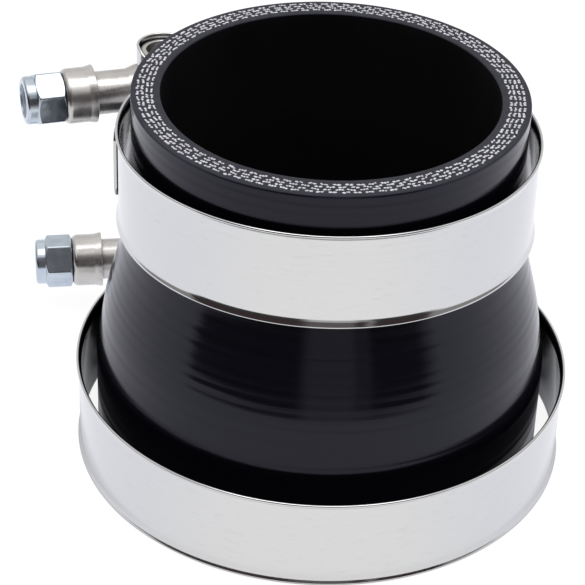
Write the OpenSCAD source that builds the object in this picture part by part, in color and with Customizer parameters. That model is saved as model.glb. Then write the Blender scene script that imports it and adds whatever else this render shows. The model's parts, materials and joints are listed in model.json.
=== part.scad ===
// Straight reducer hose coupling for joining two pipes of different sizes.
// A layered silicone hose stands on its large end, with a loose T-bolt clamp round each end.
// The origin is the centre of the large end's face. +Z runs up the hose towards the small end.

/* [Hose] */
// Bore of the small end
small_bore = 63.5; // [55:0.1:68]
// Bore of the large end
large_bore = 76.2; // [72:0.1:82]
// Length of the hose from face to face
hose_length = 76.2; // [74:0.1:90]
// Plain length of the small end before the wall flares out
small_cuff = 20; // [18:0.5:24]
// Plain length of the large end below the flare
large_cuff = 22.2; // [18:0.1:26]
// Thickness of the smooth inner liner
liner_wall = 1.2; // [0.8:0.1:2]
// Thickness of each fabric ply
ply_wall = 0.85; // [0.5:0.05:1]
// Thickness of the outer cover
cover_wall = 0.9; // [0.6:0.1:2]

/* [Clamp bands] */
// Width of the band strip, edge to edge
band_width = 19.05; // [17:0.05:20]
// Thickness of the strip
strip = 0.6; // [0.4:0.05:0.8]
// How far the rolled edges stand out from the strip
lip_out = 0.7; // [0.4:0.1:0.9]
// Width of each rolled edge
lip_width = 1.9; // [1.5:0.1:2.2]
// Loose gap between the small end and the upper band
upper_slack = 2; // [1.6:0.05:2.5]
// Loose gap between the large end and the lower band
lower_slack = 4; // [3.5:0.1:4.8]
// Outer diameter of the loops that hold the trunnion and the T-head
loop_size = 11.2; // [11:0.1:11.8]
// Width of the tails that lie on the band between its rolled edges
tail_width = 15.2; // [12:0.1:15.2]
// Angle over which each tail follows the band
tail_arc = 18; // [10:1:20]
// Straight length at the free end of each tail
tail_end = 5; // [3:1:7]
// Thickness of the inner bridge strip
bridge_strip = 0.4; // [0.3:0.05:0.45]
// Angle from the middle of the gap to each end of the bridge
bridge_half = 56; // [54:1:60]

/* [Clamp positions] */
// Height of the upper clamp's centre below the small end
upper_drop = 18.1; // [15:0.1:18.5]
// Backward rest position of the loose upper clamp
upper_shift_y = 0.9; // [0:0.1:1]
// Backward tilt of the loose upper clamp
upper_tilt = 2.1; // [0:0.1:2.2]
// Sideways rest position of the loose lower clamp
lower_shift_x = 0.3; // [-0.4:0.1:0.4]
// Forward rest position of the loose lower clamp
lower_shift_y = -2.7; // [-2.7:0.1:0]
// Direction in which the upper clamp's gap faces
upper_facing = 108; // [60:1:150]
// Direction in which the lower clamp's gap faces
lower_facing = 98.6; // [60:0.1:150]

/* [Clamp hardware] */
// Distance from the band's outside to the bolt's axis
bolt_standoff = 2.9; // [2.8:0.1:3.4]
// Distance from the middle of the gap to each upper loop
upper_loop_reach = 21.4; // [20:0.1:24]
// Distance from the middle of the gap to each lower loop
lower_loop_reach = 26.3; // [24:0.1:28]
// Thread diameter of the T-bolt
bolt_d = 6; // [5:1:6]
// Outer diameter of the trunnion's drawn sleeve
sleeve_d = 8.8; // [8.2:0.1:8.8]
// Length of the sleeve, from the loop's centre
sleeve_length = 20; // [18:0.25:24]
// Outer diameter of the end cap
cap_d = 11.2; // [10.5:0.1:11.5]
// Length of the end cap
cap_length = 6.5; // [5:0.1:8]
// Width of the lock nut across its flats
nut_flats = 10; // [9.8:0.1:11]
// Height of the lock nut, with its collar
nut_height = 7.9; // [7:0.1:9]
// Turn of the upper nut about the bolt
upper_nut_turn = 57; // [0:1:59]
// Turn of the lower nut about the bolt
lower_nut_turn = 35; // [0:1:59]

/* [Hidden] */
$fn = 96;

UPPER = 0;
LOWER = 1;

// Hose wall
ply_count = 4;
small_r = small_bore / 2;
large_r = large_bore / 2;
hose_wall = liner_wall + ply_count * ply_wall + cover_wall;
flare_top = hose_length - small_cuff;
flare_bottom = large_cuff;
flare_steps = 16;

// Clamp sizes, as [upper, lower]
band_r = [small_r + hose_wall + upper_slack, large_r + hose_wall + lower_slack];
loop_reach = [upper_loop_reach, lower_loop_reach];
bolt_line = [for (r = band_r) r + strip + bolt_standoff];
facing = [upper_facing, lower_facing];
nut_turn = [upper_nut_turn, lower_nut_turn];
floor_gap = 0.02;
clamp_centre = [
    [0, upper_shift_y, hose_length - upper_drop],
    [lower_shift_x, lower_shift_y, band_width / 2 + floor_gap]
];
clamp_tilt = [-upper_tilt, 0];

// Loops: the strip leaves the band at a tangent, rolls up and folds back as a tail
loop_r = (loop_size - strip) / 2;
neck_r = 2.5;
tail_gap = 0.1;
tail_y = strip + tail_gap;
seam_lap = 0.2;
seam_inset = 0.02;
neck_dx = sqrt(pow(loop_r + neck_r, 2) - pow(loop_r - tail_y - neck_r, 2));
neck_angle = atan2(loop_r - tail_y - neck_r, neck_dx);
band_mid = [for (r = band_r) r + strip / 2];
run = [for (c = [UPPER, LOWER])
    sqrt(pow(loop_reach[c], 2) + pow(bolt_line[c], 2) - pow(band_mid[c] + loop_r, 2))];
end_angle = [for (c = [UPPER, LOWER])
    atan2(loop_reach[c], bolt_line[c]) + atan2(run[c], band_mid[c] + loop_r)];

// Rolled edges: an arc that meets the flat strip at a tangent
lip_steps = 5;
lip_r = (pow(lip_width, 2) + pow(lip_out, 2)) / (2 * lip_out);

// Bridge
bridge_gap = 0.1;
bridge_width = 15;

// Trunnion and sleeve
pivot_gap = 0.1;
trunnion_r = loop_size / 2 - strip - pivot_gap;
trunnion_height = 17;
trunnion_pocket_r = 3.6;
trunnion_pocket = 3.2;
sleeve_bore_r = bolt_d / 2 + 0.4;
sleeve_slot = sleeve_d + 0.6;
root_r = sleeve_d / 2 + 0.6;
root_start = loop_size / 2 + 0.35;
root_length = 1.6;

// T-bolt
head_r = 3.2;
head_height = 15.5;
head_offset = 0.6;
shank_slot = bolt_d + 1.6;
bolt_recess = 0.8;
bolt_chamfer = 0.7;

// End cap, a drawn cup that covers the sleeve's end
cap_floor = 1.2;
cap_wall = 0.75;
cap_round = 1.3;
cap_rim_out = 0.35;
cap_rim_length = 1.4;
thread_gap = 0.05;

// Lock nut
nut_corners = nut_flats / cos(30);
collar_height = 2.2;
nut_hex_height = nut_height - collar_height;
chamfer_angle = 30;
chamfer_start = 0.1;
collar_step = 0.15;
collar_r = nut_flats / 2 - collar_step;
collar_round = 1.1;
insert_r = 3.9;
insert_height = 1.9;
insert_mouth_r = 3.45;
insert_lip = 0.35;

eps = 0.5;

// ---- Hose ----

// Rise of the flare from the small end (0) to the large end (1)
function flare_share(z) =
    let (t = min(1, max(0, (flare_top - z) / (flare_top - flare_bottom))))
    t * t * (3 - 2 * t);
function bore_r(z) = small_r + (large_r - small_r) * flare_share(z);

flare_z = [for (i = [0 : flare_steps]) flare_bottom + (flare_top - flare_bottom) * i / flare_steps];
hose_z = concat([0], flare_z, [hose_length]);

// One bonded layer of the wall, between two distances from the bore
module hose_layer(inside, outside) {
    last = len(hose_z) - 1;
    rotate_extrude()
        polygon(concat(
            [for (z = hose_z) [bore_r(z) + outside, z]],
            [for (i = [0 : last]) [bore_r(hose_z[last - i]) + inside, hose_z[last - i]]]
        ));
}

module hose_liner() {
    color([0.10, 0.10, 0.12]) hose_layer(0, liner_wall);
}

module fabric_ply(number) {
    inside = liner_wall + (number - 1) * ply_wall;
    color([0.55, 0.55, 0.60]) hose_layer(inside, inside + ply_wall);
}

module hose_cover() {
    color([0.16, 0.16, 0.20]) hose_layer(hose_wall - cover_wall, hose_wall);
}

// ---- Clamps ----

// Clamp frame: the centre of the band, local +Y towards the gap, local -X towards the nut
module at_clamp(c) {
    translate(clamp_centre[c])
        rotate([clamp_tilt[c], 0, 0])
            rotate([0, 0, facing[c] - 90])
                children();
}

// Loop frame: a loop's centre, with side -1 at the nut's end and side 1 at the T-head's end
module at_loop(c, side) {
    translate([side * loop_reach[c], bolt_line[c], 0]) children();
}

// Bolt frame: the trunnion's centre, with local +Z along the bolt towards the nut
module at_bolt(c) {
    at_clamp(c) at_loop(c, -1) rotate([0, -90, 0]) children();
}

// Distance that a rolled edge stands out at a height above its root
function lip_curve(height) = lip_r - sqrt(pow(lip_r, 2) - pow(height, 2));

// Heights across the band and the matching outward curve of its inner face
lip_root = band_width / 2 - lip_width;
lip_rise = [for (i = [0 : lip_steps]) lip_width * i / lip_steps];
lower_edge = [for (i = [0 : lip_steps])
    [lip_curve(lip_rise[lip_steps - i]), -lip_root - lip_rise[lip_steps - i]]];
upper_edge = [for (s = lip_rise) [lip_curve(s), lip_root + s]];
inner_face = concat(lower_edge, upper_edge);

// Section of the strip with both rolled edges, thinned by an inset on its two faces
module band_section(inset = 0) {
    last = len(inner_face) - 1;
    polygon(concat(
        [for (i = [0 : last]) inner_face[last - i] + [inset, 0]],
        [for (p = inner_face) p + [strip - inset, 0]]
    ));
}

// A plain strip bent to an arc about the local Z axis
module bent_strip(mid_r, width, from, sweep, inset = 0) {
    rotate_extrude(angle = sweep, start = from)
        translate([mid_r - strip / 2 + inset, inset - width / 2])
            square([strip - 2 * inset, width - 2 * inset]);
}

// A bend of the tail, a hair thinner and running a little way into the strips at its two ends
module joining_bend(mid_r, from, sweep) {
    lap = seam_lap / mid_r * 180 / PI;
    bent_strip(mid_r, tail_width, from - lap, sweep + 2 * lap, seam_inset);
}

// One end of the band, in the frame where the arc stops: local +X along the strip, +Y outwards
module band_end(c) {
    translate([-seam_lap, -strip / 2, 0])
        rotate([90, 0, 90])
            linear_extrude(run[c] + 2 * seam_lap)
                band_section(seam_inset);
    translate([run[c], loop_r, 0])
        bent_strip(loop_r, band_width, -90, 270 + neck_angle);
    translate([run[c] - neck_dx, tail_y + neck_r, 0])
        joining_bend(neck_r, -90, 90 + neck_angle);
    translate([0, tail_y - strip / 2, -tail_width / 2])
        cube([run[c] - neck_dx, strip, tail_width]);
    translate([0, -band_mid[c], 0]) {
        joining_bend(band_mid[c] + tail_y, 90, tail_arc);
        rotate([0, 0, tail_arc])
            translate([-tail_end, band_mid[c] + tail_y - strip / 2, -tail_width / 2])
                cube([tail_end, strip, tail_width]);
    }
}

module clamp_band(c) {
    color([0.80, 0.80, 0.82])
        at_clamp(c)
            difference() {
                union() {
                    rotate_extrude(angle = 360 - 2 * end_angle[c], start = 90 + end_angle[c])
                        translate([band_r[c], 0]) band_section();
                    for (side = [0, 1])
                        mirror([side, 0, 0])
                            rotate([0, 0, end_angle[c]])
                                translate([0, band_mid[c], 0])
                                    band_end(c);
                }
                at_loop(c, -1) slot(sleeve_slot);
                at_loop(c, 1) slot(shank_slot);
            }
}

// Window through a loop, along the bolt
module slot(width) {
    translate([-loop_size, -width / 2, -width / 2])
        cube([2 * loop_size, width, width]);
}

module bridge(c) {
    color([0.72, 0.72, 0.75])
        at_clamp(c)
            rotate_extrude(angle = 2 * bridge_half, start = 90 - bridge_half)
                translate([band_r[c] - bridge_gap - bridge_strip, -bridge_width / 2])
                    square([bridge_strip, bridge_width]);
}

module trunnion(c) {
    color([0.68, 0.66, 0.64])
        at_bolt(c)
            difference() {
                union() {
                    rotate([0, 90, 0]) cylinder(h = trunnion_height, r = trunnion_r, center = true);
                    cylinder(h = sleeve_length, d = sleeve_d);
                    translate([0, 0, root_start])
                        cylinder(h = root_length, r1 = root_r, r2 = sleeve_d / 2);
                }
                translate([0, 0, -loop_size])
                    cylinder(h = loop_size + sleeve_length + eps, r = sleeve_bore_r);
                for (end = [-1, 1])
                    translate([end * (trunnion_height / 2 + eps - (trunnion_pocket + eps) / 2), 0, 0])
                        rotate([0, 90, 0])
                            cylinder(h = trunnion_pocket + eps, r = trunnion_pocket_r, center = true);
            }
}

module t_bolt(c) {
    head = -2 * loop_reach[c] - head_offset;
    tip = sleeve_length + cap_floor + nut_height - bolt_recess;
    color([0.62, 0.62, 0.64])
        at_bolt(c) {
            translate([0, 0, head])
                rotate([0, 90, 0]) cylinder(h = head_height, r = head_r, center = true);
            translate([0, 0, head]) cylinder(h = tip - bolt_chamfer - head, d = bolt_d);
            translate([0, 0, tip - bolt_chamfer])
                cylinder(h = bolt_chamfer, d1 = bolt_d, d2 = bolt_d - 2 * bolt_chamfer);
        }
}

// Outline of the cup, from its open rim at the bottom to its rounded floor at the top
module cap_section() {
    difference() {
        union() {
            translate([0, cap_rim_length]) square([cap_d / 2, cap_length - cap_rim_length - cap_round]);
            square([cap_d / 2 - cap_round, cap_length]);
            translate([cap_d / 2 - cap_round, cap_length - cap_round]) circle(cap_round);
            polygon([
                [0, 0], [cap_d / 2 + cap_rim_out, 0],
                [cap_d / 2 + cap_rim_out, cap_rim_length / 3], [cap_d / 2, cap_rim_length],
                [0, cap_rim_length]
            ]);
        }
        translate([-eps, -eps])
            square([cap_d / 2 - cap_wall + eps, cap_length - cap_floor + eps]);
        translate([-cap_d, -eps]) square([cap_d + bolt_d / 2 + thread_gap, cap_length + 2 * eps]);
    }
}

module end_cap(c) {
    color([0.76, 0.75, 0.73])
        at_bolt(c)
            translate([0, 0, sleeve_length + cap_floor - cap_length])
                rotate_extrude() cap_section();
}

// Outline that turns the corners off the hexagon at both ends
module corner_section() {
    face_r = nut_flats / 2 + chamfer_start;
    reach = nut_corners / 2 + eps;
    rise = (reach - face_r) * tan(chamfer_angle);
    polygon([
        [0, 0], [face_r, 0], [reach, rise],
        [reach, nut_hex_height - rise], [face_r, nut_hex_height], [0, nut_hex_height]
    ]);
}

// Outline of the round collar, which starts inside the hexagon
module collar_section() {
    foot = nut_hex_height / 2;
    shoulder = nut_height - collar_round;
    translate([0, foot]) square([collar_r, shoulder - foot]);
    translate([0, foot]) square([collar_r - collar_round, nut_height - foot]);
    translate([collar_r - collar_round, shoulder]) circle(collar_round);
}

module at_nut(c) {
    at_bolt(c) translate([0, 0, sleeve_length + cap_floor]) children();
}

module lock_nut(c) {
    seat = nut_height - insert_lip - insert_height;
    color([0.78, 0.84, 0.90])
        at_nut(c)
            difference() {
                union() {
                    intersection() {
                        rotate([0, 0, nut_turn[c]])
                            translate([0, 0, -eps])
                                cylinder(h = nut_hex_height + 2 * eps, d = nut_corners, $fn = 6);
                        rotate_extrude() corner_section();
                    }
                    rotate_extrude() collar_section();
                }
                translate([0, 0, -eps]) cylinder(h = nut_height, d = bolt_d + 2 * thread_gap);
                translate([0, 0, seat]) cylinder(h = insert_height, r = insert_r);
                translate([0, 0, seat]) cylinder(h = nut_height, r = insert_mouth_r);
            }
}

module nut_insert(c) {
    color([0.90, 0.92, 0.94])
        at_nut(c)
            translate([0, 0, nut_height - insert_lip - insert_height])
                difference() {
                    cylinder(h = insert_height, r = insert_r);
                    translate([0, 0, -eps])
                        cylinder(h = insert_height + 2 * eps, d = bolt_d + 2 * thread_gap);
                }
}

hose_liner();
fabric_ply(1);  // fabric_ply_1
fabric_ply(2);  // fabric_ply_2
fabric_ply(3);  // fabric_ply_3
fabric_ply(4);  // fabric_ply_4
hose_cover();
clamp_band(UPPER);  // upper_band
bridge(UPPER);  // upper_bridge
trunnion(UPPER);  // upper_trunnion
t_bolt(UPPER);  // upper_t_bolt
end_cap(UPPER);  // upper_end_cap
lock_nut(UPPER);  // upper_lock_nut
nut_insert(UPPER);  // upper_nut_insert
clamp_band(LOWER);  // lower_band
bridge(LOWER);  // lower_bridge
trunnion(LOWER);  // lower_trunnion
t_bolt(LOWER);  // lower_t_bolt
end_cap(LOWER);  // lower_end_cap
lock_nut(LOWER);  // lower_lock_nut
nut_insert(LOWER);  // lower_nut_insert
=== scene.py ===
# A straight reducer hose with two T-bolt band clamps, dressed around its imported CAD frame.
# Shapes are worked out in millimetres and turned into metres when a mesh is made.

import json
import math

import bmesh
import bpy
import numpy as np
from mathutils import Matrix, Vector


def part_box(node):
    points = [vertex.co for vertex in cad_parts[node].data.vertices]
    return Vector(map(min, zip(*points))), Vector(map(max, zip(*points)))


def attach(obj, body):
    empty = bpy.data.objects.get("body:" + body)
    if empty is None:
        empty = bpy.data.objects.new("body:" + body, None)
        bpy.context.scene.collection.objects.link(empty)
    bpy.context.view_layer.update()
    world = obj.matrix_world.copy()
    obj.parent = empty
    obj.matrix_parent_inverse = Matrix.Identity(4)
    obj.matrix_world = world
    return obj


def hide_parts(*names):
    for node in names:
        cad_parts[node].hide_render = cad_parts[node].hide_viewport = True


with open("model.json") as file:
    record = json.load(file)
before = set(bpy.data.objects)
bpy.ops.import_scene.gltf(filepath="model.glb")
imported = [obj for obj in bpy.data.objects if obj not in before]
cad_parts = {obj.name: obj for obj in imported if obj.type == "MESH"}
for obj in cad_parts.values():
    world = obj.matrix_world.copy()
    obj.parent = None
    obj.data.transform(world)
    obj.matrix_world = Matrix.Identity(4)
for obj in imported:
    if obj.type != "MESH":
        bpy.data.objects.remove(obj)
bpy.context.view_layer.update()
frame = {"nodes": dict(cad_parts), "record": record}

MM = 0.001
JOINTS = {joint["name"]: joint for joint in frame["record"]["behaviour"]["joints"]}
MOUNTS = {mount["name"]: mount for mount in frame["record"]["mounts"]}


# ---- Curves and profiles ----

def smooth(t):
    """Ramp from 0 to 1 with level ends."""
    t = np.clip(t, 0.0, 1.0)
    return t * t * (3 - 2 * t)


def arc(centre, radius, start, stop, step):
    """Points of a flat arc from one angle to another, in degrees, about step apart."""
    sweep = math.radians(stop - start)
    count = max(3, int(abs(sweep) * radius / step) + 1)
    turn = math.radians(start) + np.linspace(0, sweep, count)
    return np.array(centre) + radius * np.stack([np.cos(turn), np.sin(turn)], axis=1)


def line(start, stop, step):
    """Points of a flat straight line, about step apart."""
    start, stop = np.array(start, float), np.array(stop, float)
    count = max(2, int(np.linalg.norm(stop - start) / step) + 1)
    return start + np.linspace(0, 1, count)[:, None] * (stop - start)


def round_corner(before, corner, after, radius, steps=5):
    """Points of the fillet that takes the place of one corner."""
    a, p, b = (np.array(v, float) for v in (before, corner, after))
    u, v = (a - p) / np.linalg.norm(a - p), (b - p) / np.linalg.norm(b - p)
    half = math.acos(np.clip(np.dot(u, v), -1, 1)) / 2
    shorter_side = min(np.linalg.norm(a - p), np.linalg.norm(b - p))
    reach = min(radius / math.tan(half), 0.49 * shorter_side)
    true_radius = reach * math.tan(half)
    middle = p + (u + v) / np.linalg.norm(u + v) * true_radius / math.sin(half)
    spoke_a, spoke_b = p + u * reach - middle, p + v * reach - middle
    points = []
    for share in np.linspace(0, 1, steps):
        spoke = spoke_a * (1 - share) + spoke_b * share
        points.append(middle + spoke / np.linalg.norm(spoke) * true_radius)
    return points


def outline(corners, closed=True):
    """A profile from corners given as (radius, height, fillet)."""
    flat = [np.array(c[:2], float) for c in corners]
    points = []
    for i, corner in enumerate(corners):
        inner_corner = closed or 0 < i < len(corners) - 1
        if corner[2] and inner_corner:
            points += round_corner(flat[i - 1], flat[i], flat[(i + 1) % len(flat)], corner[2])
        else:
            points.append(flat[i])
    return np.array(points)


# ---- Mesh building ----

def skin(rings, round_trip):
    """Faces between rings of equal size, with flat caps unless the rings come back to the start."""
    rings = np.asarray(rings)
    count, size = rings.shape[:2]
    faces = []
    for i in range(count if round_trip else count - 1):
        here, there = i * size, (i + 1) % count * size
        for j in range(size):
            k = (j + 1) % size
            faces.append((here + j, here + k, there + k, there + j))
    if not round_trip:
        faces.append(tuple(range(size - 1, -1, -1)))
        faces.append(tuple(range((count - 1) * size, count * size)))
    return rings.reshape(-1, 3), faces


def revolve(profile, steps, radius_of=None):
    """A closed profile of (radius, height) swept once round Z, reshaped by radius_of(turn, profile)."""
    rings = []
    for turn in np.linspace(0, 2 * math.pi, steps, endpoint=False):
        radius = profile[:, 0] if radius_of is None else radius_of(turn, profile)
        across = [radius * math.cos(turn), radius * math.sin(turn)]
        rings.append(np.stack([*across, profile[:, 1]], axis=1))
    return skin(rings, True)


def turned(profile, steps):
    """An open profile of (radius, height) as a solid of revolution about Z with flat end caps."""
    turn = np.linspace(0, 2 * math.pi, steps, endpoint=False)
    rings = [np.stack([r * np.cos(turn), r * np.sin(turn), np.full(steps, z)], axis=1)
             for r, z in profile]
    return skin(rings, False)


def merge(parts):
    """Several (points, faces) pairs as one."""
    points, faces, offset = [], [], 0
    for part_points, part_faces in parts:
        points.append(part_points)
        faces += [tuple(i + offset for i in face) for face in part_faces]
        offset += len(part_points)
    return np.concatenate(points), faces


def make_object(name, points, faces):
    """A mesh object from points in millimetres."""
    mesh = bpy.data.meshes.new(name)
    mesh.from_pydata((np.asarray(points) * MM).tolist(), [], faces)
    shape = bmesh.new()
    shape.from_mesh(mesh)
    bmesh.ops.recalc_face_normals(shape, faces=shape.faces)
    shape.to_mesh(mesh)
    shape.free()
    obj = bpy.data.objects.new(name, mesh)
    bpy.context.scene.collection.objects.link(obj)
    return obj


def combine(obj, tool, operation):
    """Joins a tool mesh to obj, or cuts it away, and removes the tool."""
    modifier = obj.modifiers.new("combine", "BOOLEAN")
    modifier.object = tool
    modifier.operation = operation
    modifier.solver = "EXACT"
    bpy.context.view_layer.update()
    worked_out = obj.evaluated_get(bpy.context.evaluated_depsgraph_get())
    result = bpy.data.meshes.new_from_object(worked_out)
    obj.modifiers.clear()
    obj.data = result
    bpy.data.objects.remove(tool)


def finish_piece(obj, node, body, materials, crease=38):
    """Shades a piece, gives it its materials and lets it stand for its CAD node."""
    obj.data.materials.clear()
    for material in materials:
        obj.data.materials.append(material)
    obj.data.polygons.foreach_set("use_smooth", [True] * len(obj.data.polygons))
    obj.data.set_sharp_from_angle(angle=math.radians(crease))
    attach(obj, body)
    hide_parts(node)


# ---- Materials ----

def add(tree, kind, inputs=None, **settings):
    """A shader node with its settings and input values, which are numbers, colours or sockets."""
    node = tree.nodes.new(kind)
    for key, value in settings.items():
        setattr(node, key, value)
    for key, value in (inputs or {}).items():
        if isinstance(value, bpy.types.NodeSocket):
            tree.links.new(value, node.inputs[key])
        else:
            node.inputs[key].default_value = value
    return node


def start_material(name):
    """A new material, its tree, its main shader and the place in the object."""
    material = bpy.data.materials.new(name)
    material.use_nodes = True
    tree = material.node_tree
    place = add(tree, "ShaderNodeTexCoord").outputs["Object"]
    return material, tree, tree.nodes["Principled BSDF"], place


def noise(tree, place, stretch, detail=4.0, rough=0.5):
    """Noise with a grain count per metre along each axis."""
    mapping = add(tree, "ShaderNodeMapping", {"Vector": place, "Scale": stretch})
    texture = add(tree, "ShaderNodeTexNoise",
                  {"Vector": mapping.outputs[0], "Scale": 1.0, "Detail": detail, "Roughness": rough})
    return texture.outputs["Fac"]


def spread(tree, value, low, high, start=0.3, stop=0.7):
    """Maps a texture value to a range of numbers."""
    node = add(tree, "ShaderNodeMapRange",
               {"Value": value, "From Min": start, "From Max": stop, "To Min": low, "To Max": high})
    return node.outputs[0]


def tint(tree, value, low, high, start=0.3, stop=0.7):
    """Maps a texture value to a colour between two."""
    share = spread(tree, value, 0.0, 1.0, start, stop)
    node = add(tree, "ShaderNodeMix", data_type="RGBA")
    node.inputs[6].default_value = (*low, 1)
    node.inputs[7].default_value = (*high, 1)
    tree.links.new(share, node.inputs[0])
    return node.outputs[2]


def bump(tree, layers):
    """A stack of bumps given as (height, relief in millimetres)."""
    normal = None
    for height, relief in layers:
        inputs = {"Height": height, "Distance": relief * MM, "Strength": 1.0}
        if normal is not None:
            inputs["Normal"] = normal
        normal = add(tree, "ShaderNodeBump", inputs).outputs[0]
    return normal


def dress(tree, shader, **sockets):
    """Sets the shader's inputs, named with underscores, to values or sockets."""
    for key, value in sockets.items():
        socket = shader.inputs[key.replace("_", " ")]
        if isinstance(value, bpy.types.NodeSocket):
            tree.links.new(value, socket)
        else:
            socket.default_value = value


def painted_crevice_shade(tree, colour, reach, floor):
    """Painted shade: a colour that darkens where another surface is closer than reach, in millimetres."""
    open_sky = add(tree, "ShaderNodeAmbientOcclusion", {"Distance": reach * MM}, samples=6).outputs["AO"]
    share = spread(tree, open_sky, floor, 1.0, 0.15, 0.75)
    return add(tree, "ShaderNodeVectorMath", {0: colour, "Scale": share}, operation="SCALE").outputs[0]


def painted_edge_highlight(tree, amount):
    """Painted highlight: brightness that rises on convex edges."""
    point = add(tree, "ShaderNodeNewGeometry").outputs["Pointiness"]
    return spread(tree, point, 0.0, amount, 0.52, 0.6)


def cover_material():
    """Black silicone, satin gloss, with the fine lines of the tape it was wrapped in."""
    material, tree, shader, place = start_material("silicone_cover")
    lines = noise(tree, place, (22, 22, 1500), 3)
    weave = noise(tree, place, (180, 180, 2600), 2)
    cloud = noise(tree, place, (45, 45, 60), 3)
    dress(tree, shader,
          Base_Color=tint(tree, lines, (0.0032, 0.0032, 0.0056), (0.0050, 0.0050, 0.0090)),
          Roughness=spread(tree, cloud, 0.10, 0.16),
          Specular_IOR_Level=0.26,
          Specular_Tint=(0.77, 0.76, 1.0, 1.0),
          Coat_Weight=0.12,
          Coat_Roughness=0.16,
          Coat_Tint=(0.92, 0.92, 1.0, 1.0),
          Normal=bump(tree, [(lines, 0.010), (weave, 0.004), (cloud, 0.05)]))
    return material


def liner_material():
    """Smooth matt black silicone of the bore."""
    material, tree, shader, place = start_material("silicone_liner")
    cloud = noise(tree, place, (70, 70, 50), 4)
    grain = noise(tree, place, (1800, 1800, 1800), 2)
    dress(tree, shader,
          Base_Color=tint(tree, cloud, (0.0075, 0.0075, 0.0090), (0.0105, 0.0105, 0.0125)),
          Roughness=spread(tree, cloud, 0.50, 0.62),
          Specular_IOR_Level=0.12,
          Normal=bump(tree, [(cloud, 0.06), (grain, 0.010)]))
    return material


def cut_material():
    """The knife-cut end faces: greyer, dull and finely grained."""
    material, tree, shader, place = start_material("silicone_cut_face")
    grain = noise(tree, place, (1500, 1500, 400), 4, 0.65)
    blotch = noise(tree, place, (260, 260, 260), 3)
    dress(tree, shader,
          Base_Color=tint(tree, blotch, (0.011, 0.011, 0.019), (0.020, 0.020, 0.031)),
          Roughness=spread(tree, grain, 0.42, 0.60),
          Specular_IOR_Level=0.34,
          Specular_Tint=(0.85, 0.86, 1.0, 1.0),
          Normal=bump(tree, [(blotch, 0.05), (grain, 0.03)]))
    return material


def yarn_material():
    """White polyester yarn ends with fibres."""
    material, tree, shader, place = start_material("polyester_yarn")
    fibre = noise(tree, place, (3200, 3200, 900), 3, 0.7)
    dress(tree, shader,
          Base_Color=tint(tree, fibre, (0.42, 0.43, 0.50), (0.92, 0.92, 0.96), 0.32, 0.6),
          Roughness=0.55,
          Sheen_Weight=0.3,
          Normal=bump(tree, [(fibre, 0.05)]))
    return material


def strip_material():
    """Mirror-polished stainless strip with faint rolling lines, a slight waviness and painted shade where
    other surfaces come close.
    """
    material, tree, shader, place = start_material("polished_strip")
    lines = noise(tree, place, (25, 25, 2600), 3)
    waves = noise(tree, place, (38, 38, 70), 2)
    marks = noise(tree, place, (300, 300, 1400), 4, 0.75)
    base = tint(tree, marks, (0.60, 0.60, 0.60), (0.65, 0.65, 0.65), 0.25, 0.45)
    dress(tree, shader,
          # Painted shade: the base colour darkens where the hose or another part is close.
          Base_Color=painted_crevice_shade(tree, base, 4.0, 0.06),
          Metallic=1.0,
          Roughness=spread(tree, lines, 0.07, 0.15),
          Normal=bump(tree, [(waves, 0.03), (lines, 0.0016)]))
    return material


def drawn_material():
    """Satin drawn stainless steel of sleeves, caps and bolts, with painted highlights on convex edges and
    painted shade in recesses.
    """
    material, tree, shader, place = start_material("drawn_stainless")
    grain = noise(tree, place, (900, 900, 900), 3, 0.6)
    cloud = noise(tree, place, (220, 220, 220), 3)
    base = tint(tree, cloud, (0.50, 0.48, 0.46), (0.64, 0.62, 0.60))
    # Painted highlight: the base colour is lightened on convex edges.
    edge_lit = add(tree, "ShaderNodeMix", data_type="RGBA", blend_type="ADD")
    tree.links.new(painted_edge_highlight(tree, 0.25), edge_lit.inputs[0])
    tree.links.new(base, edge_lit.inputs[6])
    edge_lit.inputs[7].default_value = (0.5, 0.5, 0.5, 1)
    dress(tree, shader,
          # Painted shade: the base colour darkens in recesses and where parts touch.
          Base_Color=painted_crevice_shade(tree, edge_lit.outputs[2], 5.0, 0.25),
          Metallic=1.0,
          Roughness=spread(tree, cloud, 0.22, 0.34),
          Normal=bump(tree, [(cloud, 0.03), (grain, 0.004)]))
    return material


def zinc_material():
    """Bright zinc plate with a blue passivate."""
    material, tree, shader, place = start_material("blue_zinc")
    cloud = noise(tree, place, (260, 260, 260), 4)
    grain = noise(tree, place, (1500, 1500, 1500), 3)
    dress(tree, shader,
          Base_Color=tint(tree, cloud, (0.46, 0.53, 0.60), (0.60, 0.66, 0.72)),
          Metallic=1.0,
          Roughness=spread(tree, cloud, 0.12, 0.24),
          Normal=bump(tree, [(cloud, 0.05), (grain, 0.004)]))
    return material


def nylon_material():
    """Milky nylon of the locking rings."""
    material, tree, shader, place = start_material("nylon_ring")
    cloud = noise(tree, place, (500, 500, 500), 3)
    dress(tree, shader,
          Base_Color=tint(tree, cloud, (0.50, 0.55, 0.60), (0.66, 0.70, 0.74)),
          Roughness=spread(tree, cloud, 0.35, 0.5),
          Subsurface_Weight=0.15,
          Normal=bump(tree, [(cloud, 0.02)]))
    return material


def maths(tree, operation, a, b=0.0):
    """One arithmetic node for two numbers or sockets."""
    return add(tree, "ShaderNodeMath", {0: a, 1: b}, operation=operation).outputs[0]


def stretch_of(tree, value, limits, blur):
    """1 where a value lies between two limits, with soft borders."""
    start, stop = limits
    rise = spread(tree, value, 0.0, 1.0, start - blur, start + blur)
    fall = spread(tree, value, 1.0, 0.0, stop - blur, stop + blur)
    return maths(tree, "MULTIPLY", rise, fall)


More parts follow.
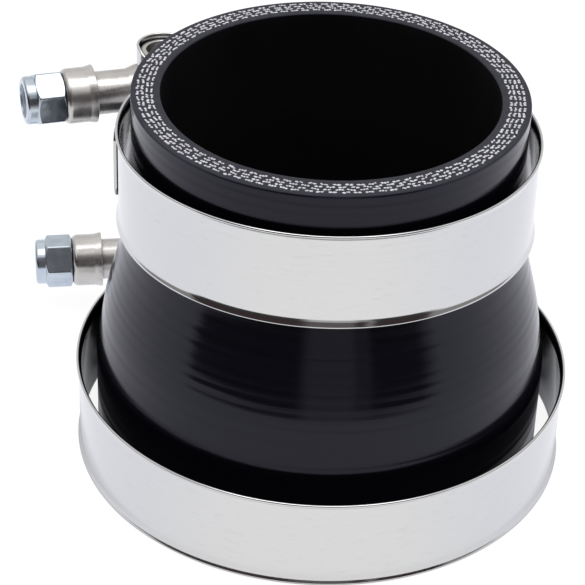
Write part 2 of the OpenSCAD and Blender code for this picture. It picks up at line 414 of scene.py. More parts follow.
# The room's front is unlit at the left and the right. Sides are angles about Z in radians from the front,
# lifts are angles above the horizon, and distances on the floor are in metres from the hose's axis.
LEFT_UNLIT = (-1.25, -0.15)
MIDDLE_UNLIT = (-0.15, 0.38)
RIGHT_UNLIT = (0.38, 1.05)
FLOOR_MIDDLE_SHARE = 0.55
FLOOR_UNLIT_FROM, FLOOR_UNLIT_WHOLE = 0.175, 0.215
FLOOR_SLANT = 0.05
UNDER_DARK, UNDER_LIT = 0.044, 0.052
FLOOR_GLOW = 0.90
WORLD_MIDDLE_SHARE = 0.90
WORLD_UNLIT_LIFT = (-0.30, 0.62)
WORLD_SIDE_SHARE, WORLD_BACK_SHARE = 0.72, 0.20
WATCHER_SIDE, WATCHER_LIFT = (-0.55, 0.35), (0.50, 0.95)
WATCHER_SHARE = 0.85


def unlit_front(tree, direction, middle_share, slant=None):
    """How dark the room is towards the front: two unlit stretches with a part-lit one between them."""
    parts = add(tree, "ShaderNodeSeparateXYZ", {0: direction})
    towards_front = maths(tree, "MULTIPLY", parts.outputs["Y"], -1.0)
    side = maths(tree, "ARCTAN2", parts.outputs["X"], towards_front)
    if slant is not None:
        side = maths(tree, "MULTIPLY", side, slant)
    left = stretch_of(tree, side, LEFT_UNLIT, 0.05)
    right = stretch_of(tree, side, RIGHT_UNLIT, 0.10)
    middle = maths(tree, "MULTIPLY", stretch_of(tree, side, MIDDLE_UNLIT, 0.05), middle_share)
    return maths(tree, "ADD", maths(tree, "ADD", left, right), middle), side


def floor_material():
    """Plain pale studio floor, in which mirrors also see the shade under the hose and the unlit front."""
    material, tree, shader, place = start_material("studio_floor")
    cloud = noise(tree, place, (3, 3, 3), 2)
    distance = add(tree, "ShaderNodeVectorMath", {0: place}, operation="LENGTH").outputs["Value"]
    nearness = maths(tree, "DIVIDE", FLOOR_SLANT, maths(tree, "MAXIMUM", distance, FLOOR_SLANT))
    slant = maths(tree, "ADD", nearness, 1 - FLOOR_SLANT)
    unlit, side = unlit_front(tree, place, FLOOR_MIDDLE_SHARE, slant)
    far = spread(tree, distance, 0.0, 0.97, FLOOR_UNLIT_FROM, FLOOR_UNLIT_WHOLE)
    unlit = maths(tree, "MULTIPLY", unlit, far)
    under = spread(tree, distance, 0.93, 0.0, UNDER_DARK, UNDER_LIT)
    lit = maths(tree, "SUBTRACT", 1.0, maths(tree, "MAXIMUM", unlit, under))
    seen = add(tree, "ShaderNodeLightPath").outputs["Is Camera Ray"]
    lit = maths(tree, "MAXIMUM", lit, seen)
    to_side = spread(tree, maths(tree, "ABSOLUTE", side), 0.0, 1.0, 0.5, 1.6)
    away = maths(tree, "MULTIPLY", to_side, maths(tree, "SUBTRACT", 1.0, seen))
    glow = tint(tree, away, (1.0, 1.0, 1.0), (0.93, 0.94, 1.0), 0.0, 1.0)
    grey = tint(tree, cloud, (0.17, 0.17, 0.17), (0.19, 0.19, 0.19))
    base = add(tree, "ShaderNodeVectorMath", {0: grey, "Scale": lit}, operation="SCALE")
    dress(tree, shader,
          Base_Color=base.outputs[0],
          Emission_Color=glow,
          Emission_Strength=maths(tree, "MULTIPLY", lit, FLOOR_GLOW),
          Roughness=0.7,
          Specular_IOR_Level=0.1)
    return material


COVER, LINER, CUT, YARN = cover_material(), liner_material(), cut_material(), yarn_material()
STRIP, DRAWN, ZINC, NYLON = strip_material(), drawn_material(), zinc_material(), nylon_material()


# ---- Hose ----

SMALL_R = MOUNTS["small_end_bore"]["dims"]["r_mm"]
LARGE_R = MOUNTS["large_end_bore"]["dims"]["r_mm"]
FLARE_BOTTOM = MOUNTS["large_end_bore"]["dims"]["length_mm"]
HOSE_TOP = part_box("hose_cover")[1].z / MM
FLARE_TOP = HOSE_TOP - MOUNTS["small_end_bore"]["dims"]["length_mm"]
PLIES = ["fabric_ply_1", "fabric_ply_2", "fabric_ply_3", "fabric_ply_4"]
LAYERS = ["hose_liner"] + PLIES + ["hose_cover"]
LAYER_OUT = {name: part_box(name)[1].x / MM - LARGE_R for name in LAYERS}
HOSE_WALL = LAYER_OUT["hose_cover"]
EDGE_ROUND = 0.3
SWELL_TOP = 28.5
SWELL_SLOPE = 0.17
CREASE_HEIGHT = 19.6
WRAP_PITCH = 2.4
WRAP_STEP = 0.055
YARN_PITCH = 2.15
YARN_LENGTH = 1.5


def bore_radius(z):
    """Radius of the bore at a height, with a smooth flare between the two cuffs."""
    return SMALL_R + (LARGE_R - SMALL_R) * smooth((FLARE_TOP - z) / (FLARE_TOP - FLARE_BOTTOM))


def layer_profile(inside, outside, height_step):
    """Closed profile of one bonded layer, between two distances from the bore."""
    count = int(HOSE_TOP / height_step)
    rise = HOSE_TOP * np.linspace(0, 1, count)
    outer = np.stack([bore_radius(rise) + outside, rise], axis=1)
    inner = np.stack([bore_radius(rise) + inside, rise], axis=1)[::-1]
    return np.concatenate([outer, inner])


def soften_edge(profile, sharp_side):
    """Rounds the two rims on one side of a layer's profile: sharp_side is 1 outside and -1 inside."""
    half = len(profile) // 2
    side = profile[:half] if sharp_side > 0 else profile[half:][::-1]
    bend = outline([
        (side[0, 0] - sharp_side * 2 * EDGE_ROUND, 0, 0),
        (side[0, 0], 0, EDGE_ROUND),
        (side[1, 0], side[1, 1] + EDGE_ROUND, 0)], closed=False)[1:]
    bend_top = outline([
        (side[-1, 0], side[-2, 1] - EDGE_ROUND, 0),
        (side[-1, 0], HOSE_TOP, EDGE_ROUND),
        (side[-1, 0] - sharp_side * 2 * EDGE_ROUND, HOSE_TOP, 0)], closed=False)[:-1]
    middle = side[(side[:, 1] > bend[-1, 1]) & (side[:, 1] < bend_top[0, 1])]
    whole = np.concatenate([bend, middle, bend_top])
    if sharp_side > 0:
        return np.concatenate([whole, profile[half:]])
    return np.concatenate([profile[:half], whole[::-1]])


def wrap_relief(turn, height):
    """Low spiral steps that the wrapping tape leaves on the cover, deeper in some places than in others."""
    wander = 0.10 * math.sin(3 * turn) + 0.25 * np.sin(0.35 * height)
    lap = height / WRAP_PITCH + turn / (2 * math.pi) + wander
    share = lap - np.floor(lap)
    step = share * smooth((1 - share) / 0.22)
    depth = 0.65 + 0.35 * np.sin(0.8 * height + 1.5 * math.sin(2 * turn) + turn)
    fade = smooth(height / 1.5) * smooth((HOSE_TOP - height) / 1.5)
    return WRAP_STEP * (step - 0.45) * depth * fade


def swell(turn, height):
    """How far the flare stands out beyond its curve, where it runs on straight to the large cuff."""
    straight = bore_radius(SWELL_TOP) + SWELL_SLOPE * (SWELL_TOP - np.maximum(height, CREASE_HEIGHT))
    beyond = np.where(height < SWELL_TOP, straight - bore_radius(height), 0)
    return beyond * smooth((0.9 - math.sin(turn)) / 0.6)


def cover_radius(turn, profile):
    """Radii of the cover's profile at one turn, with the tape's marks and the swell on its outside."""
    outside = profile[:, 0] > bore_radius(profile[:, 1]) + HOSE_WALL - EDGE_ROUND
    relief = wrap_relief(turn, profile[:, 1]) + swell(turn, profile[:, 1])
    return profile[:, 0] + np.where(outside, relief, 0)


def is_cut_face(centre, normal):
    """Whether a face lies in one of the hose's two ends."""
    at_end = centre[2] < EDGE_ROUND or centre[2] > HOSE_TOP - EDGE_ROUND
    return at_end and abs(normal[2]) > 0.5


def blob(steps=9, levels=5):
    """A unit ball as (points, faces), coarse because it is tiny."""
    lift = np.linspace(-math.pi / 2, math.pi / 2, levels + 2)[1:-1]
    turn = np.linspace(0, 2 * math.pi, steps, endpoint=False)
    rings = [np.stack([math.cos(a) * np.cos(turn), math.cos(a) * np.sin(turn),
                       np.full(steps, math.sin(a))], axis=1) for a in lift]
    return skin(rings, False)


def yarn_ends(radius, face_z, draw):
    """The cut yarns of one ply in one end face, each a few thick strands side by side."""
    ball, ball_faces = blob()
    count = round(2 * math.pi * radius / YARN_PITCH)
    parts = []
    for i in range(count):
        turn = 2 * math.pi * (i + draw.uniform(-0.07, 0.07)) / count
        lean = draw.uniform(-0.35, 0.35)
        strands = draw.integers(2, 4)
        pitch = YARN_LENGTH / strands
        for s in range(strands):
            along = (s - (strands - 1) / 2) * pitch
            size = np.array([
                pitch * draw.uniform(0.42, 0.58),
                draw.uniform(0.18, 0.31),
                draw.uniform(0.06, 0.13)])
            spin = lean + draw.uniform(-0.6, 0.6)
            across = along * lean * 0.6 + draw.uniform(-0.10, 0.10)
            local = ball * size
            x = local[:, 0] * math.cos(spin) - local[:, 1] * math.sin(spin) + along
            y = local[:, 0] * math.sin(spin) + local[:, 1] * math.cos(spin) + across
            out = radius + y
            angle = turn + x / radius
            end = np.stack([out * np.cos(angle), out * np.sin(angle), local[:, 2] + face_z], axis=1)
            parts.append((end, ball_faces))
    return merge(parts)


def build_hose():
    """Builds the six bonded layers of the hose, with the cut yarns in its two ends."""
    draw = np.random.default_rng(7)
    inside = 0.0
    for name in LAYERS:
        outside = LAYER_OUT[name]
        if name == "hose_cover":
            profile = soften_edge(layer_profile(inside, outside, 0.4), 1)
            obj = make_object("cover", *revolve(profile, 360, cover_radius))
            finish_piece(obj, name, "hose", [COVER, CUT])
        elif name == "hose_liner":
            profile = soften_edge(layer_profile(inside, outside, 1.5), -1)
            obj = make_object("liner", *revolve(profile, 240))
            finish_piece(obj, name, "hose", [LINER, CUT])
        else:
            middle = bore_radius(HOSE_TOP) + (inside + outside) / 2
            foot = bore_radius(0.0) + (inside + outside) / 2
            wall = revolve(layer_profile(inside, outside, 3.0), 240)
            parts = [wall, yarn_ends(middle, HOSE_TOP, draw), yarn_ends(foot, 0.0, draw)]
            wall_faces = len(wall[1])
            obj = make_object(name.replace("fabric_", ""), *merge(parts))
            finish_piece(obj, name, "hose", [LINER, CUT, YARN])
            for face in obj.data.polygons[wall_faces:]:
                face.material_index = 2
        inside = outside
        for face in obj.data.polygons:
            if face.material_index == 0 and is_cut_face(face.center / MM, face.normal):
                face.material_index = 1


# ---- Clamps ----

STRIP_T = 0.6
LIP_OUT = 0.7
LIP_WIDTH = 1.9
LIP_R = (LIP_WIDTH ** 2 + LIP_OUT ** 2) / (2 * LIP_OUT)
TAIL_WIDTH = 15.2
TAIL_GAP = 0.1
TAIL_Y = STRIP_T + TAIL_GAP
TAIL_ARC = 18
TAIL_END = 5
TAIL_CORNER = 2.2
NECK_R = 2.5
LOOP_R = 5.3
PATH_STEP = 0.5
WELD_R = 1.3
WELD_DEPTH = 0.12
WELD_ROWS = (4.0, 11.5)
WELD_SIDE = 3.6
WINDOW_DEPTH = 22.4
WINDOW_CORNER = 1.6
BOLT_WINDOW = 9.2
HEAD_WINDOW = 7.6
BRIDGE_T = 0.4
BRIDGE_CORNER = 5
BARREL_R = 4.9
POCKET_R = 3.6
POCKET_DEPTH = 3.2
SLEEVE_R = 4.4
SLEEVE_BORE_R = 3.4
HEAD_R = 3.2
THREAD_D = 6
THREAD_PITCH = 1.0
CAP_FLOOR = 1.2
CAP_INNER_R = 4.85
CAP_HOLE_R = 3.05
CAP_RIM_OUT = 0.35
NUT_FLAT_R = 5.0
NUT_CORNER_R = 5.70
COLLAR_HEIGHT = 2.2
COLLAR_R = 4.85
COLLAR_LIP_R = 3.45
RING_OUT_R = 3.86
RING_IN_R = 3.02
RING_DEPTH = 1.9
RING_RECESS = 0.35


class Clamp:
    """The places and directions of one clamp, read from its joints and its band."""

    def __init__(self, prefix):
        self.prefix = prefix
        self.to_nut = np.array(JOINTS[prefix + "_nut_travel"]["axis"])
        self.up = np.array(JOINTS[prefix + "_trunnion_swivel"]["axis"])
        self.x = -self.to_nut
        self.y = np.cross(self.up, self.x)
        loop = np.array(JOINTS[prefix + "_trunnion_swivel"]["pos_m"]) / MM
        band = self.box_of(prefix + "_band")
        lip_r = (band[1][0] - band[0][0]) / 2
        middle = [(band[0][0] + band[1][0]) / 2, band[0][1] + lip_r, (band[0][2] + band[1][2]) / 2]
        self.centre = self.axes().T @ np.array(middle)
        self.band_mid = lip_r - LIP_OUT - STRIP_T / 2
        self.half_width = (band[1][2] - band[0][2]) / 2
        self.reach, self.line = np.abs(self.axes() @ (loop - self.centre))[:2]
        self.run = math.sqrt(self.reach ** 2 + self.line ** 2 - (self.band_mid + LOOP_R) ** 2)
        self.end_angle = math.degrees(
            math.atan2(self.reach, self.line) + math.atan2(self.run, self.band_mid + LOOP_R))

    def axes(self):
        return np.array([self.x, self.y, self.up])

    def box_of(self, node):
        """Lowest and highest corner of a CAD node along this clamp's own directions."""
        points = np.array([v.co for v in frame["nodes"][node].data.vertices]) / MM @ self.axes().T
        return points.min(axis=0), points.max(axis=0)

    def place(self, points):
        """Points in the clamp's frame, moved to where the clamp is."""
        return np.asarray(points) @ self.axes() + self.centre

    def along_bolt(self, points, start=0.0):
        """Points in a bolt frame (+Z to the nut, +X up) whose origin lies on the bolt's axis."""
        x, y, z = np.asarray(points).T
        return self.place(np.stack([-z - self.reach - start, y + self.line, x], axis=1))

    def nut_face(self):
        """Distance from the trunnion's centre to the face that the nut bears on."""
        face = np.array(JOINTS[self.prefix + "_nut_spin"]["pos_m"]) / MM
        return float((face - self.centre) @ self.to_nut) - self.reach


def strip_section(width, lip, full_width, thickness):
    """Closed section of the strip as (outwards, across) points, with rolled edges and round borders."""
    border = thickness / 2
    reach = width - border
    root = full_width - LIP_WIDTH
    share = np.concatenate([
        np.linspace(-1, -0.8, 9), np.linspace(-0.74, 0.74, 22), np.linspace(0.8, 1, 9)])
    across = share * reach
    beyond = np.maximum(np.abs(across) - root, 0)
    out = lip * (LIP_R - np.sqrt(LIP_R ** 2 - beyond ** 2))
    slope = lip * np.sign(across) * beyond / np.sqrt(LIP_R ** 2 - beyond ** 2)
    length = np.sqrt(1 + slope ** 2)
    normal = np.stack([1 / length, -slope / length], axis=1)
    middle = np.stack([out, across], axis=1)
    outer, inner = middle + border * normal, middle - border * normal
    caps = []
    for end, sign in ((-1, 1), (0, -1)):
        along = np.array([-normal[end, 1], normal[end, 0]]) * sign
        swing = np.radians([30, 60, 90, 120, 150])[:, None]
        caps.append(middle[end] + border * (sign * normal[end] * np.cos(swing) + along * np.sin(swing)))
    return np.concatenate([outer, caps[0], inner[::-1], caps[1]]), len(outer), len(caps[0])


def end_path(clamp):
    """Half of the strip's path, from a tail's free end round the loop to where the band's arc starts.

    Each part is (points, width share, lip share).
    """
    neck_dx = math.sqrt((LOOP_R + NECK_R) ** 2 - (LOOP_R - TAIL_Y - NECK_R) ** 2)
    neck_angle = math.degrees(math.atan2(LOOP_R - TAIL_Y - NECK_R, neck_dx))
    middle = (0, -clamp.band_mid)
    tail_r = clamp.band_mid + TAIL_Y
    start = math.radians(90 + TAIL_ARC)
    tangent = np.array([math.sin(start), -math.cos(start)])
    arc_start = np.array(middle) + tail_r * np.array([math.cos(start), math.sin(start)])
    parts = [
        (line(arc_start - TAIL_END * tangent, arc_start, PATH_STEP), 0, 0),
        (arc(middle, tail_r, 90 + TAIL_ARC, 90, PATH_STEP), 0, 0),
        (line((0, TAIL_Y), (clamp.run - neck_dx, TAIL_Y), PATH_STEP), 0, 0),
        (arc((clamp.run - neck_dx, TAIL_Y + NECK_R), NECK_R, -90, neck_angle, PATH_STEP), 0, 0),
        (arc((clamp.run, LOOP_R), LOOP_R, 180 + neck_angle, -90, PATH_STEP), 1, 0),
        (line((clamp.run, 0), (0, 0), PATH_STEP), 1, 1)]
    points, wide, lip = [], [], []
    for part, width_share, lip_share in parts:
        part = part if not points else part[1:]
        travel = np.linspace(0, 1, len(part))
        points.append(part)
        in_loop = width_share and not lip_share
        wide.append(smooth(travel / 0.22) if in_loop else np.full(len(part), width_share))
        lip.append(smooth(travel / 0.6) * lip_share)
    points = np.concatenate(points)
    turn = math.radians(clamp.end_angle)
    spin = np.array([[math.cos(turn), -math.sin(turn)], [math.sin(turn), math.cos(turn)]])
    return (points + [0, clamp.band_mid]) @ spin.T, np.concatenate(wide), np.concatenate(lip)


def band_mesh(clamp):
    """The whole band: one strip from tail to tail."""
    ends, wide, lip = end_path(clamp)
    body = arc((0, 0), clamp.band_mid, 90 + clamp.end_angle, 450 - clamp.end_angle,
               2 * PATH_STEP)[1:-1]
    path = np.concatenate([ends, body, (ends * [-1, 1])[::-1]])
    wide = np.concatenate([wide, np.ones(len(body)), wide[::-1]])
    lip = np.concatenate([lip, np.ones(len(body)), lip[::-1]])
    tangent = np.gradient(path, axis=0)
    tangent /= np.linalg.norm(tangent, axis=1)[:, None]
    outward = np.stack([tangent[:, 1], -tangent[:, 0]], axis=1)
    travel = np.concatenate([[0], np.cumsum(np.linalg.norm(np.diff(path, axis=0), axis=1))])
    from_end = np.minimum(travel, travel[-1] - travel)
    rings = []
    for i in range(len(path)):
        tail = TAIL_WIDTH / 2
        if from_end[i] < TAIL_CORNER:
            tail += math.sqrt(TAIL_CORNER ** 2 - (TAIL_CORNER - from_end[i]) ** 2) - TAIL_CORNER
        width = tail + (clamp.half_width - tail) * wide[i]
        section, side, cap = strip_section(width, lip[i], clamp.half_width, STRIP_T)
        if wide[i] == 0:
            inner = slice(side + cap, 2 * side + cap)
            section[inner, 0] += weld_dents(from_end[i], section[inner, 1])
        flat = path[i] + section[:, :1] * outward[i]
        rings.append(np.column_stack([flat, section[:, 1]]))
    return skin(rings, False)


def weld_dents(from_end, across):
    """Depth of the spot welds on the free side of a tail."""
    depth = np.zeros(len(across))
    for row in WELD_ROWS:
        for side in (-1, 1):
            distance = np.sqrt((from_end - row) ** 2 + (across - side * WELD_SIDE) ** 2)
            depth += WELD_DEPTH * smooth((1.4 * WELD_R - distance) / (0.5 * WELD_R))
    return depth


def rounded_bar(width, height, length, corner):
    """A bar along X with rounded long edges, centred on the origin."""
    section = outline([(-width / 2, -height / 2, corner), (width / 2, -height / 2, corner),
                       (width / 2, height / 2, corner), (-width / 2, height / 2, corner)])
    rings = [np.column_stack([np.full(len(section), x), section]) for x in (-length / 2, length / 2)]
    return skin(rings, False)


def build_band(clamp):
    """Cuts the windows for the bolt into the strip of one band."""
    name = clamp.prefix + "_band"
    points, faces = band_mesh(clamp)
    obj = make_object(clamp.prefix + "_strip", clamp.place(points), faces)
    for side, slot_width in ((-1, BOLT_WINDOW), (1, HEAD_WINDOW)):
        bar, bar_faces = rounded_bar(slot_width, slot_width, WINDOW_DEPTH, WINDOW_CORNER)
        tool = make_object("window", clamp.place(bar + [side * clamp.reach, clamp.line, 0]), bar_faces)
        combine(obj, tool, "DIFFERENCE")
    finish_piece(obj, name, clamp.prefix + "_clamp", [STRIP])


def build_bridge(clamp):
    """The thin inner strip under the gap, with round corners at its two ends."""
    name = clamp.prefix + "_bridge"
    low, high = clamp.box_of(name)
    radius = high[1] - clamp.axes()[1] @ clamp.centre - BRIDGE_T / 2
    half_width = (high[2] - low[2]) / 2
    half_angle = math.degrees(math.asin((high[0] - low[0]) / 2 / (radius + BRIDGE_T / 2)))
    path = arc((0, 0), radius, 90 - half_angle, 90 + half_angle, 0.5)
    reach = math.radians(half_angle) * radius
    travel = np.linspace(0, 2 * reach, len(path))
    rings = []
    for point, gone in zip(path, travel):
        near_end = max(BRIDGE_CORNER - min(gone, 2 * reach - gone), 0)
        width = half_width - BRIDGE_CORNER + math.sqrt(BRIDGE_CORNER ** 2 - near_end ** 2)
        section = strip_section(width, 0, half_width, BRIDGE_T)[0]
        outward = point / np.linalg.norm(point)
        rings.append(np.column_stack([point + section[:, :1] * outward, section[:, 1]]))
    points, faces = skin(rings, False)
    obj = make_object(clamp.prefix + "_inner_strip", clamp.place(points), faces)
    finish_piece(obj, name, clamp.prefix + "_clamp", [STRIP])


def build_trunnion(clamp):
    """Hollow-ended pivot barrel with the drawn sleeve that grows out of it."""
    name = clamp.prefix + "_trunnion"
    low, high = clamp.box_of(name)
    half = (high[2] - low[2]) / 2
    floor = half - POCKET_DEPTH
    sleeve_end = clamp.nut_face() - CAP_FLOOR
    corners = [(0.4, -floor, 0), (POCKET_R, -floor, 0.8), (POCKET_R, -half, 0.25),
               (BARREL_R, -half, 0.6), (BARREL_R, half, 0.6), (POCKET_R, half, 0.25),
               (POCKET_R, floor, 0.8), (0.4, floor, 0)]
    points, faces = turned(outline(corners, closed=False), 72)
    obj = make_object(clamp.prefix + "_pivot", clamp.place(points + [-clamp.reach, clamp.line, 0]), faces)
    rod = outline([(4.0, 0, 0), (4.0, 4.0, 0), (5.2, 5.4, 0.5), (4.85, 6.4, 1.5), (SLEEVE_R, 7.8, 1.5),
                   (SLEEVE_R, sleeve_end, 0.3), (3.0, sleeve_end, 0)], closed=False)
    rod, rod_faces = turned(rod, 72)
    combine(obj, make_object("sleeve", clamp.along_bolt(rod), rod_faces), "UNION")
    hole, hole_faces = turned(np.array([(SLEEVE_BORE_R, -12), (SLEEVE_BORE_R, sleeve_end + 2)]), 64)
    combine(obj, make_object("bore", clamp.along_bolt(hole), hole_faces), "DIFFERENCE")
    finish_piece(obj, name, clamp.prefix + "_trunnion", [DRAWN])


def thread_radius(turn, height, end):
    """Radius of a screw thread that fades out at both of its ends."""
    phase = height / THREAD_PITCH - turn / (2 * math.pi)
    wave = np.abs(phase - np.floor(phase) - 0.5) * 2
    crest = THREAD_D / 2 - 0.02
    depth = 0.61 * THREAD_PITCH
    ridge = crest - depth * smooth((wave - 0.12) / 0.80)
    run_in = smooth((height - end[0]) / THREAD_PITCH)
    run_out = np.clip((end[1] - height) / 0.7, 0, 1)
    blank = crest - depth * 0.45
    radius = blank + (ridge - blank) * run_in
    return np.minimum(radius, crest - 0.75 * (1 - run_out))


def build_bolt(clamp):
    """Threaded bolt with a cross bar for its head."""
    name = clamp.prefix + "_t_bolt"
    low, high = clamp.box_of(name)
    origin = clamp.axes() @ clamp.centre
    tip = -(low[0] - origin[0]) - clamp.reach
    head_half = (high[2] - low[2]) / 2
    head = -(high[0] - origin[0]) - clamp.reach + HEAD_R
    steps = 40
    turn = np.linspace(0, 2 * math.pi, steps, endpoint=False)
    heights = np.concatenate([
        np.linspace(head + 0.5, head + 7, 8), np.arange(head + 7.1, tip, 0.1), [tip]])
    rings = []
    for height in heights:
        radius = thread_radius(turn, np.full(steps, height), (head + 8, tip))
        across = [radius * np.cos(turn), radius * np.sin(turn)]
        rings.append(np.stack([*across, np.full(steps, height)], axis=1))
    shank, shank_faces = skin(rings, False)
    obj = make_object(clamp.prefix + "_bolt", clamp.along_bolt(shank), shank_faces)
    bar = outline([(0.3, -head_half, 0), (HEAD_R, -head_half, 1.0), (HEAD_R, head_half, 1.0),
                   (0.3, head_half, 0)], closed=False)
    bar, bar_faces = turned(bar, 64)
    bar = clamp.place(bar + [-clamp.reach - head, clamp.line, 0])
    combine(obj, make_object("bar", bar, bar_faces), "UNION")
    finish_piece(obj, name, clamp.prefix + "_bolt", [DRAWN])


def build_cap(clamp):
    """Drawn cup over the sleeve's end, with a flared and slightly uneven rim."""
    name = clamp.prefix + "_end_cap"
    low, high = clamp.box_of(name)
    length = high[0] - low[0]
    rim_r = (high[2] - low[2]) / 2
    body_r, floor = rim_r - CAP_RIM_OUT, length - CAP_FLOOR
    profile = outline([
        (rim_r - 0.8, 0, 0.1), (rim_r, 0, 0.15), (body_r, 1.6, 2.0),
        (body_r, length, 1.5), (CAP_HOLE_R, length, 0.1), (CAP_HOLE_R, floor, 0.1),
        (CAP_INNER_R, floor, 0.6), (CAP_INNER_R, 1.1, 0.6)])

    def uneven(turn, points):
        rim = smooth((1.2 - points[:, 1]) / 1.2)
        return points[:, 0] + rim * (0.05 * math.sin(2 * turn + 1) + 0.03 * math.sin(5 * turn) - 0.05)

    points, faces = revolve(profile, 96, uneven)
    place = clamp.along_bolt(points, clamp.nut_face() - length)
    obj = make_object(clamp.prefix + "_cap", place, faces)
    finish_piece(obj, name, clamp.prefix + "_cap", [DRAWN])


def soft_min(a, b, blend):
    """Smaller of two values, with a rounded change-over."""
    share = np.clip(0.5 + 0.5 * (b - a) / blend, 0, 1)
    return b * (1 - share) + a * share - blend * share * (1 - share)


def build_nut(clamp, turn_of_flats):
    """Hexagon nut with turned corners, a rolled-over collar and the nylon ring it holds."""
    name = clamp.prefix + "_lock_nut"
    low, high = clamp.box_of(name)
    height = high[0] - low[0]
    hex_height = height - COLLAR_HEIGHT
    recess = height - RING_RECESS
    seat = recess - RING_DEPTH
    side = np.concatenate([np.linspace(0, 0.9, 13), np.linspace(1.1, hex_height - 1.3, 5),
                           np.linspace(hex_height - 1.1, hex_height, 14)])
    collar = outline([
        (COLLAR_R + 0.25, hex_height, 0), (COLLAR_R, hex_height, 0.3), (COLLAR_R, height, 1.15),
        (COLLAR_LIP_R, height, 0.12), (COLLAR_LIP_R, recess, 0.1), (3.0, recess, 0)], closed=False)[1:-1]
    inside = np.array([(3.9, recess - 0.01), (3.9, seat), (3.05, seat), (3.05, 0.35), (3.4, 0.0)])
    profile = np.concatenate([np.column_stack([np.full(len(side), 9.0), side]), collar, inside])

    def hexagon(turn, points):
        wrapped = (turn - math.radians(turn_of_flats)) % (math.pi / 3) - math.pi / 6
        radius = np.full(len(points), NUT_FLAT_R / math.cos(wrapped))
        radius = soft_min(radius, NUT_CORNER_R, 0.10)
        z = points[:, 1]
        radius = soft_min(radius, 5.02 + z / math.tan(math.radians(30)), 0.12)
        radius = soft_min(radius, 4.98 + (hex_height - z) / math.tan(math.radians(33)), 0.22)
        return np.where(points[:, 0] > 8, radius, points[:, 0])

    points, faces = revolve(profile, 288, hexagon)
    place = clamp.along_bolt(points, clamp.nut_face())
    obj = make_object(clamp.prefix + "_nut", place, faces)
    finish_piece(obj, name, clamp.prefix + "_nut", [ZINC], crease=50)

    foot, top = seat + 0.05, recess - 0.05
    ring = outline([(RING_IN_R, foot, 0.15), (RING_OUT_R, foot, 0.1), (RING_OUT_R, top, 0.1),
                    (RING_IN_R, top, 0.3)])
    points, faces = revolve(ring, 96)
    obj = make_object(clamp.prefix + "_locking_ring", clamp.along_bolt(points, clamp.nut_face()), faces)
    finish_piece(obj, clamp.prefix + "_nut_insert", clamp.prefix + "_nut", [NYLON])


def build_clamp(prefix, turn_of_flats):
    """Builds the pieces of one clamp. turn_of_flats is how its nut came to rest, in degrees."""
    clamp = Clamp(prefix)
    build_band(clamp)
    build_bridge(clamp)
    build_trunnion(clamp)
    build_bolt(clamp)
    build_cap(clamp)
    build_nut(clamp, turn_of_flats)


# ---- Studio ----

CAMERA_ELEVATION = 34.13
CAMERA_ROLL = 2.14
CAMERA_DISTANCE = 424.7
CAMERA_TARGET = (-5.81, 0, 30.78)
CAMERA_LENS = 132.3
LIGHT_TARGET = (0, 0, 0.04)
FLOOR_HALF = 3.0


def build_camera():
    """Sets the camera from its height angle, lean, distance and lens."""
    data = bpy.data.cameras.new("camera")
    data.sensor_width = 36
    data.lens = CAMERA_LENS
    camera = bpy.data.objects.new("camera", data)
    bpy.context.scene.collection.objects.link(camera)
    lift, roll = math.radians(CAMERA_ELEVATION), math.radians(CAMERA_ROLL)
    ahead = Vector((0, math.cos(lift), -math.sin(lift)))
    right = Vector((1, 0, 0))
    up = right.cross(ahead)
    leaned_right = math.cos(roll) * right + math.sin(roll) * up
    leaned_up = math.cos(roll) * up - math.sin(roll) * right
    place = (Vector(CAMERA_TARGET) - CAMERA_DISTANCE * ahead) * MM
    turn = Matrix((leaned_right, leaned_up, -ahead)).transposed().to_4x4()
    camera.matrix_world = Matrix.Translation(place) @ turn
    bpy.context.scene.camera = camera


def add_light(name, place, size, power):
    """A soft rectangular light that points at the object's middle."""
    data = bpy.data.lights.new(name, "AREA")
    data.shape = "RECTANGLE"
    data.size, data.size_y = size
    data.energy = power
    light = bpy.data.objects.new(name, data)
    light.location = place
    aim = Vector(LIGHT_TARGET) - Vector(place)
    light.rotation_euler = aim.to_track_quat("-Z", "Y").to_euler()
    bpy.context.scene.collection.objects.link(light)


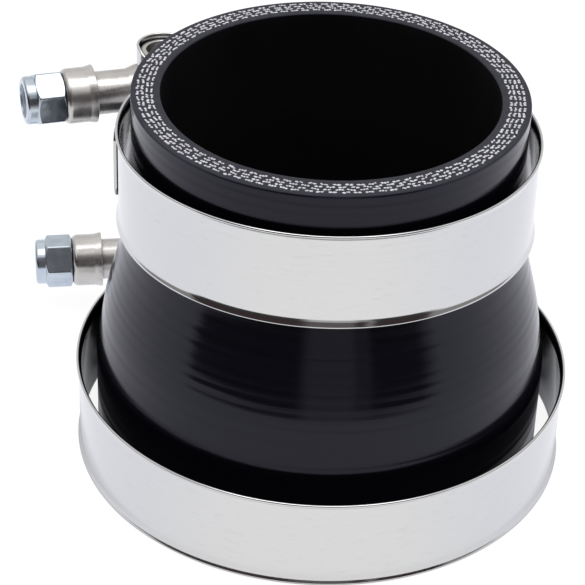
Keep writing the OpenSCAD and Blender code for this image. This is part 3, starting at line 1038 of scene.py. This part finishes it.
def build_floor():
    """Lays the plain floor, which is part of the stage and not of the object."""
    corners = [(x * FLOOR_HALF, y * FLOOR_HALF, 0) for x, y in ((-1, -1), (1, -1), (1, 1), (-1, 1))]
    mesh = bpy.data.meshes.new("floor")
    mesh.from_pydata(corners, [], [(0, 1, 2, 3)])
    mesh.materials.append(floor_material())
    floor = bpy.data.objects.new("floor", mesh)
    bpy.context.scene.collection.objects.link(floor)


def build_world():
    """A bright room that mirrors see unlit round the camera. The camera itself sees it plain."""
    world = bpy.data.worlds.new("studio")
    world.use_nodes = True
    tree = world.node_tree
    direction = add(tree, "ShaderNodeTexCoord").outputs["Generated"]
    unlit, side = unlit_front(tree, direction, WORLD_MIDDLE_SHARE)
    height = add(tree, "ShaderNodeSeparateXYZ", {0: direction}).outputs["Z"]
    lift = maths(tree, "ARCSINE", height)
    turned_away = maths(tree, "ABSOLUTE", side)
    around = spread(tree, turned_away, WORLD_SIDE_SHARE, WORLD_BACK_SHARE, 1.8, 2.4)
    unlit = maths(tree, "MAXIMUM", unlit, around)
    unlit = maths(tree, "MULTIPLY", unlit, stretch_of(tree, lift, WORLD_UNLIT_LIFT, 0.06))
    watcher = maths(tree, "MULTIPLY", stretch_of(tree, side, WATCHER_SIDE, 0.08), WATCHER_SHARE)
    watcher = maths(tree, "MULTIPLY", watcher, stretch_of(tree, lift, WATCHER_LIFT, 0.06))
    unlit = maths(tree, "MAXIMUM", unlit, watcher)
    seen = add(tree, "ShaderNodeLightPath").outputs["Is Camera Ray"]
    unlit = maths(tree, "MULTIPLY", unlit, maths(tree, "SUBTRACT", 1.0, seen))
    background = tree.nodes["Background"]
    colour = tint(tree, unlit, (1.0, 1.0, 1.0), (0.050, 0.036, 0.038), 0.0, 1.0)
    tree.links.new(colour, background.inputs["Color"])
    background.inputs["Strength"].default_value = 0.95
    bpy.context.scene.world = world


def build_studio():
    """Sets the floor, the room, the light and the camera."""
    build_floor()
    build_world()
    add_light("top_light", (0, -0.1, 1.2), (1.0, 0.6), 4)
    build_camera()
    bpy.context.scene.view_settings.view_transform = "Standard"


build_hose()
build_clamp("upper", 57)
build_clamp("lower", 35)
build_studio()
